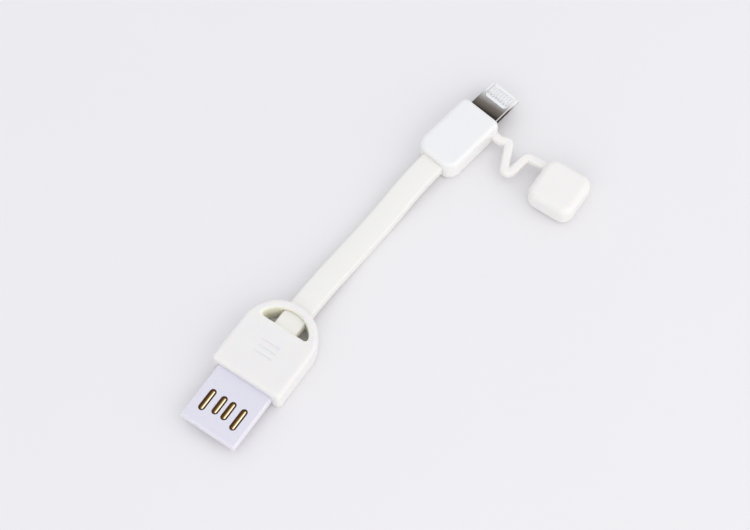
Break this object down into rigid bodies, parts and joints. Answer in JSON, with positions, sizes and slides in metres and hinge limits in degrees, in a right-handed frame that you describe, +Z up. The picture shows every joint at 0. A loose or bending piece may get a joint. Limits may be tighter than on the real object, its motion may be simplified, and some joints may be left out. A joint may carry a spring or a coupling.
{
  "type": "short charging cable",
  "caption": "Short flat charging cable for a key ring, with a slim USB-A plug, a looped housing, a two-way phone plug and a dust cap on a strap.",
  "frame": {"origin": "on the underside of the USB housing, on its middle line, 6 mm behind its front face", "axes": "+Z up from the table, +Y from the USB plug towards the phone plug"},
  "size_m": [0.0389, 0.0913, 0.0054],
  "materials": {
    "housing_white": "soft-touch matt",
    "tongue_white": "satin",
    "cable_white": "matt",
    "head_white": "satin",
    "cap_white": "matt",
    "contact_gold": "plated",
    "pad_gold": "plated",
    "plug_steel": "dark polished",
    "pad_white": "satin",
    "core_natural": "as moulded",
    "board_green": "varnished",
    "chip_black": "matt",
    "wire_red": "satin",
    "wire_white": "satin",
    "wire_green": "satin",
    "wire_black": "satin"
  },
  "bodies": {
    "cable": {"contact_pad": "pad_white", "flat_cable": "cable_white", "head_board": "board_green", "head_core": "core_natural", "head_housing": "head_white", "head_wire_data_minus": "wire_white", "head_wire_data_plus": "wire_green", "head_wire_ground": "wire_black", "head_wire_power": "wire_red", "id_chip": "chip_black", "mouth_contact_1": "contact_gold", "mouth_contact_2": "contact_gold", "mouth_contact_3": "contact_gold", "mouth_contact_4": "contact_gold", "mouth_contact_5": "contact_gold", "mouth_core": "core_natural", "pad_contact_1": "pad_gold", "pad_contact_2": "pad_gold", "pad_contact_3": "pad_gold", "pad_contact_4": "pad_gold", "pad_contact_5": "pad_gold", "pad_contact_6": "pad_gold", "pad_contact_7": "pad_gold", "pad_contact_8": "pad_gold", "plug_sleeve": "plug_steel", "usb_contact_data_minus": "contact_gold", "usb_contact_data_plus": "contact_gold", "usb_contact_ground": "contact_gold", "usb_contact_power": "contact_gold", "usb_core": "core_natural", "usb_housing": "housing_white", "usb_tongue": "tongue_white", "usb_wire_data_minus": "wire_white", "usb_wire_data_plus": "wire_green", "usb_wire_ground": "wire_black", "usb_wire_power": "wire_red"},
    "cap": {"dust_cap": "cap_white"}
  },
  "joints": [
    {"name": "cap_swing", "type": "hinge", "parent": "cable", "child": "cap", "pos_m": [0.01038, 0.06349, 0.0025], "axis": [-0.1468, -0.9892, 0], "range_deg": [-85, 85]}
  ]
}
